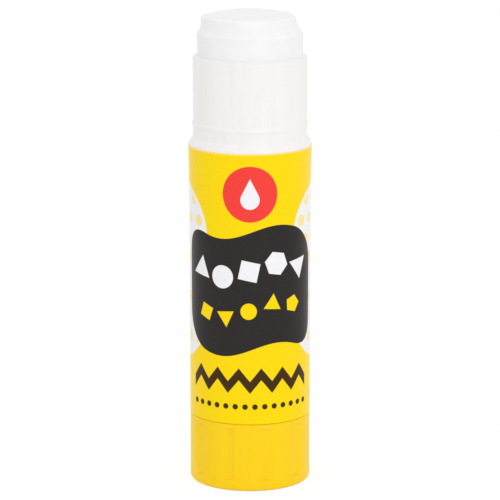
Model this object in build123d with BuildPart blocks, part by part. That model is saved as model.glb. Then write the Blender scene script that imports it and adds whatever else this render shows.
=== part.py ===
from build123d import *
from math import cos, radians, sin, sqrt
import os

# A glue stick without its cap, twisted a little way out. Millimetres, +Z up, on its base at Z = 0,
# with its axis on Z. The knob and its screw turn, and the carrier lifts the glue along guide ribs.

# Shared by all pieces
overrun = 2.0  # how far a cut runs past what it cuts
web_bite = 0.3  # how far a web or fin runs into the wall that it joins
retract_travel = 10.0  # from the photographed pose down to the lowest
extend_travel = 32.0  # from the photographed pose up to the highest
quarter_turn = 90  # in degrees

# Knob
knob_rise = 0.08  # how far the knob stands out past the barrel's foot
knob_height = 15.1
knob_wall = 1.3
knob_floor = 1.5
knob_top_round = 0.25
foot_round = 0.9
foot_ring_width = 2.4  # flat ring that the stick stands on
foot_recess = 0.6  # depth of the underside inside that ring
flute_count = 10
flute_width = 3.1
flute_depth = 0.3
flute_low_band = 2.3  # plain band under the flutes
flute_high_band = 0.85  # plain band over the flutes
flute_angle = 21.4  # from the front face to the first flute, in degrees
hub_wall = 1.47  # round the socket's corners
hub_floor = 2.9  # under the socket
knob_web_count = 6
knob_web_thickness = 0.9
knob_web_height = 2.2

# Barrel, from the knob up
seam_gap = 0.15  # between the knob and the barrel
body_length = 61.25  # from the seam to the foot of the neck
foot_radius = 13.1
waist_rise = 0.06  # how far the side has opened out below the flare
top_rise = 0.27  # how far it has opened out at the shoulder
flare_length = 15.1  # the last stretch of the side, which opens out
shoulder_drop = 1.4
floor_lift = 0.35  # underside of the floor over the seam
floor_thickness = 1.4
barrel_wall = 1.55  # at the foot
collar_gap = 0.12  # between the collar and the knob's inside
collar_foot_gap = 0.7  # from the knob's webs up to the collar
collar_wall = 1.1
snap_width = 1.4
snap_rise = 0.3
snap_lift = 3.05  # from the collar's foot up to the snap bead
snap_gap = 0.14
neck_step = 0.97  # from the shoulder's outside in to the neck
neck_length = 17.7
bead_width = 1.2
bead_rise = 0.23
bead_lift = 3.1  # from the foot of the neck up to the cap's bead
rim_round = 0.35
mouth_round = 0.2
rib_count = 4
rib_angle = 45  # from +X to the first rib, in degrees
rib_width = 1.2
rib_rise = 0.45
rib_drop = 11.2  # from the rim down to the ribs' tops
rib_gap = 0.2  # around a rib, to what slides on it

# Label
film = 0.1
label_head_margin = 0.2
label_foot_margin = 0.1
lap_angle = 13.0  # overlap of the film's ends at the back, in degrees

# Lead screw
root_across_flats = 5.6
root_end_gap = 0.5
end_float = 0.2  # axial gap on each side of the barrel's floor
journal_step = 0.47  # from the root's corners out to the journal
journal_gap = 0.08
flange_step = 2.5
flange_thickness = 1.2
stem_step = 0.1  # from the thread's crest out to the stem
thread_radius = 3.0
thread_depth = 0.9
thread_pitch = 4.0  # rise in one turn
thread_crest = 0.8
thread_root = 1.8
thread_gap = 0.15
thread_in_mesh = 8.0  # thread left in the nut when the glue is out as far as it goes
thread_runout = 0.5
tip_length = 1.6
tip_taper = 0.8
gusset_count = 4
gusset_thickness = 0.8
gusset_height = 3.0
gusset_margin = 0.7  # from a gusset out to the flange's edge

# Carrier
carrier_gap = 0.2
lip_gap = 0.1
lip_width = 0.8
lip_slope = 0.3
cup_wall = 0.8
cup_depth = 5.0
cup_floor = 1.4
skirt_length = 11.0
nut_wall = 1.8  # outside the thread's crest
nut_length = 11.0
chimney_wall = 1.15
chimney_height = 3.0
chimney_gap = 0.25
fin_count = 6
fin_thickness = 0.8
fin_height = 3.2
fin_margin = 1.35  # from a fin out to the cup's wall
carrier_web_count = 4
carrier_web_thickness = 0.9
carrier_web_height = 5.0

# Glue
glue_gap = 0.15
glue_length = 48.0
glue_out = 9.2  # crown over the rim
bevel_width = 1.4
bevel_height = 3.35
bevel_hollow = 0.12  # how far the bevel's middle lies in from a straight one
ledge_width = 0.35  # narrow step at the bevel's foot
ledge_drop = 0.15
ledge_round = 0.15
glue_crown = 0.35
face_round = 0.7
glue_bore_gap = 0.45  # round the screw's thread
glue_bore_margin = 1.5  # free space over the screw's tip at the lowest pose

# Heights that follow from the sizes above
seam_z = knob_height + seam_gap
knob_inside_z = foot_recess + knob_floor
socket_low_z = knob_inside_z + hub_floor
collar_low_z = knob_inside_z + knob_web_height + collar_foot_gap
snap_z = collar_low_z + snap_lift
floor_low_z = seam_z + floor_lift
floor_top_z = floor_low_z + floor_thickness
shoulder_z = seam_z + body_length
shoulder_low_z = shoulder_z - shoulder_drop
waist_z = shoulder_low_z - flare_length
bead_z = shoulder_z + bead_lift
rim_z = shoulder_z + neck_length
rib_top_z = rim_z - rib_drop
hub_top_z = floor_low_z - end_float
flange_low_z = floor_top_z + end_float
flange_top_z = flange_low_z + flange_thickness
crown_z = rim_z + glue_out
cup_floor_z = crown_z - glue_length
cup_under_z = cup_floor_z - cup_floor
cup_top_z = cup_floor_z + cup_depth
skirt_low_z = cup_under_z - skirt_length
nut_low_z = cup_under_z - nut_length
stem_top_z = nut_low_z - retract_travel - thread_runout
thread_top_z = nut_low_z + extend_travel + thread_in_mesh
tip_top_z = thread_top_z + tip_length

# Radii that follow
waist_radius = foot_radius + waist_rise
top_radius = foot_radius + top_rise
neck_radius = top_radius - neck_step
bore_radius = foot_radius - barrel_wall
knob_radius = foot_radius + knob_rise
cavity_radius = knob_radius - knob_wall
collar_radius = cavity_radius - collar_gap
collar_bore_radius = collar_radius - collar_wall
snap_groove_radius = collar_radius + snap_rise + snap_gap
snap_groove_width = snap_width + 2 * snap_gap
root_corner_radius = root_across_flats / sqrt(3)
hub_radius = root_corner_radius + hub_wall
journal_radius = root_corner_radius + journal_step
bearing_radius = journal_radius + journal_gap
flange_radius = journal_radius + flange_step
stem_radius = thread_radius + stem_step
core_radius = thread_radius - thread_depth
tip_radius = core_radius - tip_taper
gusset_width = flange_radius - gusset_margin - stem_radius
carrier_radius = bore_radius - carrier_gap
lip_radius = bore_radius - lip_gap
cup_radius = carrier_radius - cup_wall
nut_radius = thread_radius + nut_wall
nut_bore_radius = core_radius + thread_gap
chimney_bore_radius = thread_radius + chimney_gap
chimney_radius = chimney_bore_radius + chimney_wall
fin_reach = cup_radius - fin_margin
glue_radius = bore_radius - glue_gap
glue_face_radius = glue_radius - bevel_width
ledge_radius = glue_radius - ledge_width
glue_bore_radius = thread_radius + glue_bore_gap


def cutter_radius(width, depth, round_radius):
    """Radius of the round cutter that leaves a flute of this width and depth in a round bar."""
    chord_drop = depth - (round_radius - sqrt(round_radius**2 - (width / 2) ** 2))
    return ((width / 2) ** 2 + chord_drop**2) / (2 * chord_drop)


def bead_on(radius, height, width, rise):
    """Draw a straight wall's stretch of rounded bead, as an arc from its foot to its head."""
    ThreePointArc(
        (radius, height - width / 2), (radius + rise, height), (radius, height + width / 2)
    )


def body_side(skin):
    """Draw the barrel's long side, moved outward by the thickness of a skin."""
    taper = Line((foot_radius + skin, seam_z), (waist_radius + skin, waist_z))
    TangentArc(
        (waist_radius + skin, waist_z),
        (top_radius + skin, shoulder_low_z),
        tangent=taper % 1,
    )


def rib_places(gap):
    """Draw the ribs' sections, with a gap around each."""
    with PolarLocations(bore_radius, rib_count, start_angle=rib_angle):
        Rectangle(2 * (rib_rise + gap), rib_width + 2 * gap)


def fin_places():
    """Draw the sections of the fins that grip the glue's foot."""
    fin_root = chimney_radius - web_bite
    with PolarLocations((fin_root + fin_reach) / 2, fin_count):
        Rectangle(fin_reach - fin_root, fin_thickness)


def polar(radius, angle):
    """The point of the XY plane at this radius and angle in degrees."""
    return (radius * cos(radians(angle)), radius * sin(radians(angle)))


def thread_bar(low_z, high_z, gap):
    """A bar of core and thread in one, made larger by a gap all round, with its ridge on +X at low_z."""
    core, crest = core_radius + gap, thread_radius + gap
    crest_angle = 180 * (thread_crest + 2 * gap) / thread_pitch
    root_angle = 180 * (thread_root + 2 * gap) / thread_pitch
    flank, flank_angle = (core + crest) / 2, (crest_angle + root_angle) / 2
    with BuildPart() as bar:
        with BuildSketch(Plane.XY.offset(low_z)):
            with BuildLine():
                ThreePointArc(polar(crest, -crest_angle), polar(crest, 0), polar(crest, crest_angle))
                ThreePointArc(
                    polar(crest, crest_angle), polar(flank, flank_angle), polar(core, root_angle)
                )
                ThreePointArc(polar(core, root_angle), polar(core, 180), polar(core, -root_angle))
                ThreePointArc(
                    polar(core, -root_angle), polar(flank, -flank_angle), polar(crest, -crest_angle)
                )
            make_face()
        with BuildLine() as centre_line:
            Line((0, 0, low_z), (0, 0, high_z))
        with BuildLine() as turn_guide:
            Helix(thread_pitch, high_z - low_z, core_radius, center=(0, 0, low_z), lefthand=True)
        sweep(path=centre_line.line, binormal=turn_guide.line.edge())
    return bar.part


# Knob: a cup with a hub for the screw's root, fluted outside, with a groove that snaps on the collar
with BuildPart() as twist_knob:
    with BuildSketch(Plane.XZ):
        with BuildLine():
            Polyline(
                (0, foot_recess),
                (knob_radius - foot_round - foot_ring_width, foot_recess),
                (knob_radius - foot_round - foot_ring_width, 0),
                (knob_radius, 0),
                (knob_radius, knob_height),
                (cavity_radius, knob_height),
                (cavity_radius, snap_z + snap_groove_width / 2),
                (snap_groove_radius, snap_z + snap_groove_width / 2 - snap_rise),
                (snap_groove_radius, snap_z - snap_groove_width / 2 + snap_rise),
                (cavity_radius, snap_z - snap_groove_width / 2),
                (cavity_radius, knob_inside_z),
                (hub_radius, knob_inside_z),
                (hub_radius, hub_top_z),
                (0, hub_top_z),
                close=True,
            )
        make_face()
    revolve(axis=Axis.Z)
    with BuildSketch(Plane.XY.offset(knob_inside_z)):
        with PolarLocations((hub_radius + cavity_radius) / 2, knob_web_count):
            Rectangle(cavity_radius - hub_radius + 2 * web_bite, knob_web_thickness)
    extrude(amount=knob_web_height)
    with BuildSketch(Plane.XY.offset(socket_low_z)):
        RegularPolygon(root_across_flats / 2, 6, major_radius=False)
    extrude(amount=hub_top_z - socket_low_z + overrun, mode=Mode.SUBTRACT)
    flute_cutter = cutter_radius(flute_width, flute_depth, knob_radius)
    with BuildSketch(Plane.XY.offset(flute_low_band)):
        with PolarLocations(
            knob_radius - flute_depth + flute_cutter, flute_count, start_angle=-quarter_turn - flute_angle
        ):
            Circle(flute_cutter)
    extrude(amount=knob_height - flute_high_band - flute_low_band, mode=Mode.SUBTRACT)
    outer_rings = twist_knob.edges().filter_by(GeomType.CIRCLE).group_by(SortBy.RADIUS)[-1]
    fillet(outer_rings.sort_by(Axis.Z)[0], foot_round)
    outer_rings = twist_knob.edges().filter_by(GeomType.CIRCLE).group_by(SortBy.RADIUS)[-1]
    fillet(outer_rings.sort_by(Axis.Z)[-1], knob_top_round)
twist_knob.part.label = "twist_knob"
export_step(twist_knob.part, "parts/twist_knob.step")


# Lead screw: a six-sided root in the knob, a journal in the barrel's floor, then the thread
screw_thread = thread_bar(stem_top_z, thread_top_z, 0)
with BuildPart() as lead_screw:
    with BuildSketch(Plane.XZ):
        with BuildLine():
            Polyline(
                (0, hub_top_z),
                (journal_radius, hub_top_z),
                (journal_radius, flange_low_z),
                (flange_radius, flange_low_z),
                (flange_radius, flange_top_z),
                (stem_radius, flange_top_z),
                (stem_radius, stem_top_z),
                (0, stem_top_z),
                close=True,
            )
        make_face()
    revolve(axis=Axis.Z)
    with BuildSketch(Plane.XZ):
        with BuildLine():
            Polyline(
                (0, thread_top_z),
                (core_radius, thread_top_z),
                (tip_radius, tip_top_z),
                (0, tip_top_z),
                close=True,
            )
        make_face()
    revolve(axis=Axis.Z)
    with BuildSketch(Plane.XY.offset(socket_low_z + root_end_gap)):
        RegularPolygon(root_across_flats / 2, 6, major_radius=False)
    extrude(amount=hub_top_z - socket_low_z - root_end_gap)
    with BuildSketch(Plane.XY.offset(flange_top_z)):
        with PolarLocations(stem_radius + (gusset_width - web_bite) / 2, gusset_count):
            Rectangle(gusset_width + web_bite, gusset_thickness)
    extrude(amount=gusset_height)
    add(screw_thread)
lead_screw.part.label = "lead_screw"
export_step(lead_screw.part, "parts/lead_screw.step")


# Barrel: one moulded tube, with the neck and bead for a cap, guide ribs, floor and collar
with BuildPart() as barrel:
    with BuildSketch(Plane.XZ):
        with BuildLine():
            Polyline(
                (collar_radius, snap_z - snap_width / 2),
                (collar_radius, collar_low_z),
                (collar_bore_radius, collar_low_z),
                (collar_bore_radius, floor_low_z),
                (bearing_radius, floor_low_z),
                (bearing_radius, floor_top_z),
                (bore_radius, floor_top_z),
                (bore_radius, rim_z),
                (neck_radius, rim_z),
                (neck_radius, bead_z + bead_width / 2),
            )
            bead_on(neck_radius, bead_z, bead_width, bead_rise)
            Line((neck_radius, bead_z - bead_width / 2), (neck_radius, shoulder_z))
            EllipticalCenterArc(
                (neck_radius, shoulder_low_z),
                top_radius - neck_radius,
                shoulder_drop,
                start_angle=0,
                arc_size=quarter_turn,
            )
            body_side(0)
            Polyline(
                (foot_radius, seam_z),
                (collar_radius, seam_z),
                (collar_radius, snap_z + snap_width / 2),
            )
            bead_on(collar_radius, snap_z, snap_width, snap_rise)
        make_face()
    revolve(axis=Axis.Z)
    rim_edges = barrel.edges().filter_by(GeomType.CIRCLE).group_by(Axis.Z)[-1]
    fillet(rim_edges.sort_by(SortBy.RADIUS)[-1], rim_round)
    rim_edges = barrel.edges().filter_by(GeomType.CIRCLE).group_by(Axis.Z)[-1]
    fillet(rim_edges.sort_by(SortBy.RADIUS)[0], mouth_round)
    with BuildSketch(Plane.XY.offset(floor_top_z)):
        rib_places(0)
    extrude(amount=rib_top_z - floor_top_z)
barrel.part.label = "barrel"
export_step(barrel.part, "parts/barrel.step")


# Label: printed film wrapped round the barrel, its ends lapped at the back
with BuildPart() as label:
    with BuildSketch(Plane.XZ):
        with BuildLine():
            body_side(0)
            body_side(film)
            Line((foot_radius, seam_z), (foot_radius + film, seam_z))
            Line((top_radius, shoulder_low_z), (top_radius + film, shoulder_low_z))
        make_face()
    revolve(axis=Axis.Z)
    lap_start = quarter_turn - lap_angle / 2
    lap_plane = Plane(
        origin=(0, 0, 0),
        x_dir=Plane.XZ.x_dir.rotate(Axis.Z, lap_start),
        z_dir=Plane.XZ.z_dir.rotate(Axis.Z, lap_start),
    )
    with BuildSketch(lap_plane):
        with BuildLine():
            body_side(film)
            body_side(2 * film)
            Line((foot_radius + film, seam_z), (foot_radius + 2 * film, seam_z))
            Line((top_radius + film, shoulder_low_z), (top_radius + 2 * film, shoulder_low_z))
        make_face()
    revolve(axis=Axis.Z, revolution_arc=lap_angle)
    split(bisect_by=Plane.XY.offset(shoulder_low_z - label_head_margin), keep=Keep.BOTTOM)
    split(bisect_by=Plane.XY.offset(seam_z + label_foot_margin), keep=Keep.TOP)
label.part.label = "label"
export_step(label.part, "parts/label.step")


# Carrier: a cup for the glue's foot over a guiding skirt, with the nut in its middle
turns_below_nut = (nut_low_z - stem_top_z) // thread_pitch
nut_thread = thread_bar(
    stem_top_z + (turns_below_nut - 1) * thread_pitch, cup_floor_z + chimney_height, thread_gap
)
with BuildPart() as carrier:
    with BuildSketch(Plane.XZ):
        with BuildLine():
            Polyline(
                (nut_bore_radius, nut_low_z),
                (nut_radius, nut_low_z),
                (nut_radius, cup_under_z),
                (cup_radius, cup_under_z),
                (cup_radius, skirt_low_z),
                (lip_radius, skirt_low_z),
                (lip_radius, skirt_low_z + lip_width),
                (carrier_radius, skirt_low_z + lip_width + lip_slope),
                (carrier_radius, cup_top_z - lip_width - lip_slope),
                (lip_radius, cup_top_z - lip_width),
                (lip_radius, cup_top_z),
                (cup_radius, cup_top_z),
                (cup_radius, cup_floor_z),
                (chimney_radius, cup_floor_z),
                (chimney_radius, cup_floor_z + chimney_height),
                (chimney_bore_radius, cup_floor_z + chimney_height),
                (chimney_bore_radius, cup_under_z),
                (nut_bore_radius, cup_under_z),
                close=True,
            )
        make_face()
    revolve(axis=Axis.Z)
    with BuildSketch(Plane.XY.offset(cup_under_z - carrier_web_height)):
        with PolarLocations((nut_radius + cup_radius) / 2, carrier_web_count):
            Rectangle(cup_radius - nut_radius + 2 * web_bite, carrier_web_thickness)
    extrude(amount=carrier_web_height)
    with BuildSketch(Plane.XY.offset(cup_floor_z)):
        fin_places()
    extrude(amount=fin_height)
    with BuildSketch(Plane.XY.offset(skirt_low_z - overrun)):
        rib_places(rib_gap)
    extrude(amount=cup_top_z - skirt_low_z + 2 * overrun, mode=Mode.SUBTRACT)
    add(nut_thread, mode=Mode.SUBTRACT)
carrier.part.label = "carrier"
export_step(carrier.part, "parts/carrier.step")


# Glue: a cast stick, bevelled round its top, with room for the screw, ribs and fins
with BuildPart() as glue:
    bevel_top_z = crown_z - glue_crown
    bevel_low_z = bevel_top_z - bevel_height
    with BuildSketch(Plane.XZ):
        with BuildLine():
            Polyline(
                (0, cup_floor_z),
                (cup_radius, cup_floor_z),
                (cup_radius, cup_top_z),
                (glue_radius, cup_top_z),
                (glue_radius, bevel_low_z - ledge_drop),
                (ledge_radius, bevel_low_z),
            )
            ThreePointArc(
                (ledge_radius, bevel_low_z),
                ((ledge_radius + glue_face_radius) / 2 - bevel_hollow, (bevel_low_z + bevel_top_z) / 2),
                (glue_face_radius, bevel_top_z),
            )
            ThreePointArc(
                (glue_face_radius, bevel_top_z),
                (glue_face_radius / 2, crown_z - glue_crown / 4),
                (0, crown_z),
            )
            Line((0, crown_z), (0, cup_floor_z))
        make_face()
    revolve(axis=Axis.Z)
    fillet(glue.edges().sort_by_distance((0, glue_face_radius, bevel_top_z))[0], face_round)
    ledge_edge = (0, glue_radius, bevel_low_z - ledge_drop)
    fillet(glue.edges().sort_by_distance(ledge_edge)[0], ledge_round)
    with BuildSketch(Plane.XY.offset(cup_floor_z)):
        Circle(chimney_radius)
    extrude(amount=chimney_height, mode=Mode.SUBTRACT)
    with BuildSketch(Plane.XY.offset(cup_floor_z)):
        Circle(glue_bore_radius)
    extrude(
        amount=tip_top_z + retract_travel + glue_bore_margin - cup_floor_z, mode=Mode.SUBTRACT
    )
    with BuildSketch(Plane.XY.offset(cup_floor_z)):
        fin_places()
    extrude(amount=fin_height, mode=Mode.SUBTRACT)
    with BuildSketch(Plane.XY.offset(cup_top_z)):
        rib_places(rib_gap)
    extrude(amount=rib_top_z + retract_travel + rib_gap - cup_top_z, mode=Mode.SUBTRACT)
glue.part.label = "glue"
export_step(glue.part, "parts/glue.step")
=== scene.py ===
"""A glue stick with its cap off, dressed and lit for a plain studio picture."""

import logging
import math
from dataclasses import dataclass
from enum import Enum
from functools import partialmethod
from typing import ClassVar, Sequence

import bpy
from bpy.types import Material, Node, NodeSocket, NodeTree, NodeTreeInterfaceSocket, Object
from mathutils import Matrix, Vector, noise


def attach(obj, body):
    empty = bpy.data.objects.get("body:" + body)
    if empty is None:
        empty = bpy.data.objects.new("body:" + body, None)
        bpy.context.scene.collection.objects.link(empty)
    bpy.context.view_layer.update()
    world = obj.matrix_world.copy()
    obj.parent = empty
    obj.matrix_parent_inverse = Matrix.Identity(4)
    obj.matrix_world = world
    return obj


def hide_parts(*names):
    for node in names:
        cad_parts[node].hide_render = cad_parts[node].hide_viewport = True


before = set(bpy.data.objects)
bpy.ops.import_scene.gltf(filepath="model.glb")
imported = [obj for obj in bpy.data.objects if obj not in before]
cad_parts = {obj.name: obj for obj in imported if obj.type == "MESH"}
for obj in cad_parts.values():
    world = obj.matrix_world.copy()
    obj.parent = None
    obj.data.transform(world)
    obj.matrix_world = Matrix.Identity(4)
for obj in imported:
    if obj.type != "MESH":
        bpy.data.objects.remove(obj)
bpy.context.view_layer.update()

log = logging.getLogger("glue_stick")

MM = 0.001
FULL_TURN = 360.0
WHITE = (1.0, 1.0, 1.0, 1.0)
ON_AXIS = 1e-6  # a smaller radius lies on the axis
NEAR = 0.01  # two sizes this close are the same
CREASE_ANGLE = 38  # an edge that turns by more degrees stays sharp
ARC_STEPS = 6  # steps in the rounding of an outline's corner
ROUND_STEPS = 288  # even steps round the barrel and the glue
RIB_ANGLES = (45.0, 135.0, 225.0, 315.0)  # where the guide ribs stand in the tube

Point = tuple[float, float]
Colour = tuple[float, float, float, float]
Inputs = dict[str | int, object]


def linear(red: int, green: int, blue: int) -> Colour:
    """Turn a screen colour, each part from 0 to 255, into the shader's linear one."""
    shares = [value / 255 for value in (red, green, blue)]
    return (*(s / 12.92 if s <= 0.04045 else ((s + 0.055) / 1.055) ** 2.4 for s in shares), 1.0)


class Ink(Enum):
    """The inks of the wrap's print, as screen colours."""

    YELLOW = (255, 220, 0)
    CHARCOAL = (44, 41, 39)
    RED = (246, 66, 60)
    WHITE = (243, 243, 246)
    PALE_YELLOW = (252, 231, 160)
    BROWN = (66, 44, 12)

    @property
    def colour(self) -> Colour:
        """The ink as a linear colour."""
        return linear(*self.value)


class Body(Enum):
    """The bodies that pieces ride on."""

    TUBE = "tube"
    KNOB = "knob"
    LIFT = "lift"


# Outlines and meshes, in millimetres and degrees


def smooth_step(value: float, start: float, end: float) -> float:
    """Rise smoothly from zero at start to one at end."""
    share = min(max((value - start) / (end - start), 0.0), 1.0)
    return share * share * (3 - 2 * share)


def smooth_top(value: float, softness: float) -> float:
    """Cut a value off below zero, with a soft corner."""
    return (value + math.sqrt(value * value + softness * softness)) / 2


def steps_between(start: float, end: float, step: float) -> list[float]:
    """List evenly spaced values from start up to, and without, end, at most a step apart."""
    count = max(1, math.ceil(abs(end - start) / step))
    return [start + (end - start) * i / count for i in range(count)]


def turned_point(radius: float, angle: float, height: float) -> Vector:
    """The point at a radius, an angle and a height."""
    turn = math.radians(angle)
    return Vector((radius * math.cos(turn), radius * math.sin(turn), height))


@dataclass(frozen=True)
class Corner:
    """A corner of an outline: its radius and height, and the radius that it is rounded to."""

    radius: float
    height: float
    rounding: float = 0.0

    @property
    def place(self) -> Vector:
        """The corner's place in the outline."""
        return Vector((self.radius, self.height))


def rounded_outline(corners: Sequence[Corner], step: float) -> list[Point]:
    """Walk round a closed outline, with its corners rounded and its long sides divided.

    Args:
        corners: The corners in order, the last joined to the first.
        step: Longest stretch between two points of a straight side.

    Returns:
        The points as radius and height.
    """
    turned: list[list[Vector]] = []
    for index, corner in enumerate(corners):
        here = corner.place
        if corner.rounding <= 0:
            turned.append([here])
            continue
        to_before = (corners[index - 1].place - here).normalized()
        to_after = (corners[(index + 1) % len(corners)].place - here).normalized()
        half_angle = to_before.angle(to_after) / 2
        middle = here + (to_before + to_after).normalized() * corner.rounding / math.sin(half_angle)
        reach = corner.rounding / math.tan(half_angle)
        first = (here + to_before * reach - middle).normalized()
        last = (here + to_after * reach - middle).normalized()
        spokes = [first.slerp(last, i / ARC_STEPS) * corner.rounding for i in range(ARC_STEPS + 1)]
        turned.append([middle + spoke for spoke in spokes])
    points: list[Point] = []
    for stretch, following in zip(turned, turned[1:] + turned[:1]):
        start, end = stretch[-1], following[0]
        points += [(p.x, p.y) for p in stretch[:-1]]
        points += [
            (start.x + (end.x - start.x) * share, start.y + (end.y - start.y) * share)
            for share in steps_between(0.0, 1.0, step / max((end - start).length, step))
        ]
    return points


def angles_with_ribs(half_turn: float, gap: float = 0.03) -> list[float]:
    """Spread angles over a full turn, with a close pair at both edges of each rib.

    Args:
        half_turn: Half the angle that a rib takes.
        gap: Half the spacing of a pair.

    Returns:
        The angles from 0 to 360, sorted, without near doubles.
    """
    edges = [middle + side * half_turn for middle in RIB_ANGLES for side in (-1, 1)]
    pairs = [(edge + side) % FULL_TURN for edge in edges for side in (-gap, gap)]
    even = [FULL_TURN * i / ROUND_STEPS for i in range(ROUND_STEPS)]
    return sorted(pairs + [a for a in even if all(abs(a - p) > 2 * gap for p in pairs)])


def on_rib(angle: float, half_turn: float) -> bool:
    """Whether an angle lies on a rib that takes twice half a turn."""
    return any(abs(angle - middle) < half_turn for middle in RIB_ANGLES)


def bridge(ring: Sequence[int], following: Sequence[int]) -> list[tuple[int, ...]]:
    """Join two closed rings of points with faces, which are triangles where one ring is a point."""
    quads = zip(ring, [*ring[1:], ring[0]], [*following[1:], following[0]], following)
    return [tuple(dict.fromkeys(quad)) for quad in quads]


def new_piece(name: str, points: Sequence[Vector], faces: Sequence[tuple[int, ...]]) -> Object:
    """Make an object in the scene.

    Args:
        name: The piece's name.
        points: Its corners.
        faces: Its faces, as numbers of points.

    Returns:
        The new object, smooth where its faces turn gently.
    """
    mesh = bpy.data.meshes.new(name)
    mesh.from_pydata([p * MM for p in points], [], faces)
    mesh.validate()
    mesh.polygons.foreach_set("use_smooth", [True] * len(mesh.polygons))
    mesh.set_sharp_from_angle(angle=math.radians(CREASE_ANGLE))
    piece = bpy.data.objects.new(name, mesh)
    bpy.context.scene.collection.objects.link(piece)
    piece.modifiers.new("even_normals", "WEIGHTED_NORMAL").keep_sharp = True
    return piece


# Shader wiring


@dataclass(frozen=True)
class Term:
    """A value in a shader tree that can stand in a sum."""

    tree: NodeTree
    socket: NodeSocket

    def math(self, operation: str, *others: "Term | float", clamp: bool = False) -> "Term":
        """Put the value through a Math node.

        Args:
            operation: The node's operation.
            others: Its other inputs.
            clamp: Whether the result is kept from zero to one.

        Returns:
            The result.
        """
        node = self.tree.nodes.new("ShaderNodeMath")
        node.operation, node.use_clamp = operation, clamp
        for slot, value in zip(node.inputs, (self, *others)):
            plug(self.tree, slot, value)
        return Term(self.tree, node.outputs[0])

    # Each of these is one Math node
    __add__ = partialmethod(math, "ADD")
    __sub__ = partialmethod(math, "SUBTRACT")
    __mul__ = partialmethod(math, "MULTIPLY")
    __truediv__ = partialmethod(math, "DIVIDE")
    __pow__ = partialmethod(math, "POWER")
    __neg__ = partialmethod(math, "MULTIPLY", -1.0)
    __abs__ = partialmethod(math, "ABSOLUTE")
    least = partialmethod(math, "MINIMUM")
    most = partialmethod(math, "MAXIMUM")

    def hypot(self, other: "Term | float") -> "Term":
        """Length of the way that goes this far and then that far to the side."""
        return (self * self + other * other).math("SQRT")


def plug(tree: NodeTree, slot: NodeSocket, value: object) -> None:
    """Link a term or a socket to an input, or set a plain value on it.

    Args:
        tree: The tree that the input is in.
        slot: The input.
        value: What goes in.
    """
    source = value.socket if isinstance(value, Term) else value
    if isinstance(source, NodeSocket):
        tree.links.new(source, slot)
    else:
        slot.default_value = source


@dataclass
class Wiring:
    """Adds and joins the nodes of one shader tree."""

    tree: NodeTree

    def node(self, kind: str, inputs: Inputs | None = None, **settings: object) -> Node:
        """Add a node.

        Args:
            kind: The node's type.
            inputs: What goes in its inputs, by name or place.
            settings: Its own settings.

        Returns:
            The node.
        """
        made = self.tree.nodes.new(kind)
        for key, value in settings.items():
            setattr(made, key, value)
        for key, value in (inputs or {}).items():
            plug(self.tree, made.inputs[key], value)
        return made

    def term(self, socket: NodeSocket) -> Term:
        """Take a socket as a term of a sum."""
        return Term(self.tree, socket)

    def place(self, **mapping: tuple[float, float, float]) -> NodeSocket:
        """The place on the piece, in metres.

        Args:
            mapping: A Rotation, and a Scale that draws a noise out where it is small.

        Returns:
            The place, mapped so.
        """
        place = self.node("ShaderNodeTexCoord").outputs["Object"]
        if mapping:
            place = self.node("ShaderNodeMapping", {"Vector": place, **mapping}).outputs["Vector"]
        return place

    def cloud(self, place: object, size: Term | float, detail: float, distortion: float = 0.0) -> Term:
        """A noise from zero to one, with spots of a size in millimetres, finer layers and a stir."""
        inputs = {"Vector": place, "Scale": (size * MM) ** -1.0, "Detail": detail, "Distortion": distortion}
        return self.term(self.node("ShaderNodeTexNoise", inputs).outputs[0])

    def ramp(
        self, value: object, low: float, high: float, to_low: float = 0.0, to_high: float = 1.0
    ) -> Term:
        """Stretch a value smoothly from one span to another, cut off at both ends.

        Args:
            value: The value.
            low: Start of its span.
            high: End of its span.
            to_low: What the start becomes.
            to_high: What the end becomes.

        Returns:
            The stretched value.
        """
        inputs = {"Value": value, "From Min": low, "From Max": high, "To Min": to_low, "To Max": to_high}
        made = self.node("ShaderNodeMapRange", inputs, interpolation_type="SMOOTHSTEP")
        return self.term(made.outputs["Result"])

    def mix(self, share: object, first: object, second: object) -> Term:
        """Mix two colours, with a share of the second."""
        made = self.node("ShaderNodeMix", {0: share, 6: first, 7: second}, data_type="RGBA")
        return self.term(made.outputs[2])

    def use(self, effect: "type[Effect]", **inputs: object) -> dict[str, Term]:
        """Place an effect's group.

        Args:
            effect: The kind of effect.
            inputs: What goes in its inputs, with _ for a space.

        Returns:
            Its outputs by name.
        """
        values = {key.replace("_", " "): value for key, value in inputs.items()}
        made = self.node("ShaderNodeGroup", values, node_tree=effect.group())
        return {socket.name: self.term(socket) for socket in made.outputs}


class Effect(Wiring):
    """The wiring of a shader node group, built once and placed in many materials.

    Each kind names its group and its inputs, with their usual values.
    """

    name: str
    inputs: dict[str, float]
    groups: dict[str, NodeTree] = {}

    def __init__(self) -> None:
        """Make the group with its sockets and nodes."""
        super().__init__(bpy.data.node_groups.new(self.name, "ShaderNodeTree"))
        for label, usual in self.inputs.items():
            self.new_socket(label, "INPUT").default_value = usual
        start = self.node("NodeGroupInput")
        self.given = {label: self.term(start.outputs[label]) for label in self.inputs}
        results = self.wire()
        for label in results:
            self.new_socket(label, "OUTPUT")
        self.node("NodeGroupOutput", results)

    def new_socket(self, label: str, side: str) -> NodeTreeInterfaceSocket:
        """Give the group a socket on its INPUT or OUTPUT side."""
        return self.tree.interface.new_socket(label, in_out=side, socket_type="NodeSocketFloat")

    def wire(self) -> dict[str, Term]:
        """Join the nodes between the inputs and the outputs, which it gives by name."""
        raise NotImplementedError

    @classmethod
    def group(cls) -> NodeTree:
        """Find the group, or build it at its first use.

        Returns:
            The group.
        """
        if cls.name not in cls.groups:
            cls.groups[cls.name] = cls().tree
        return cls.groups[cls.name]


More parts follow.
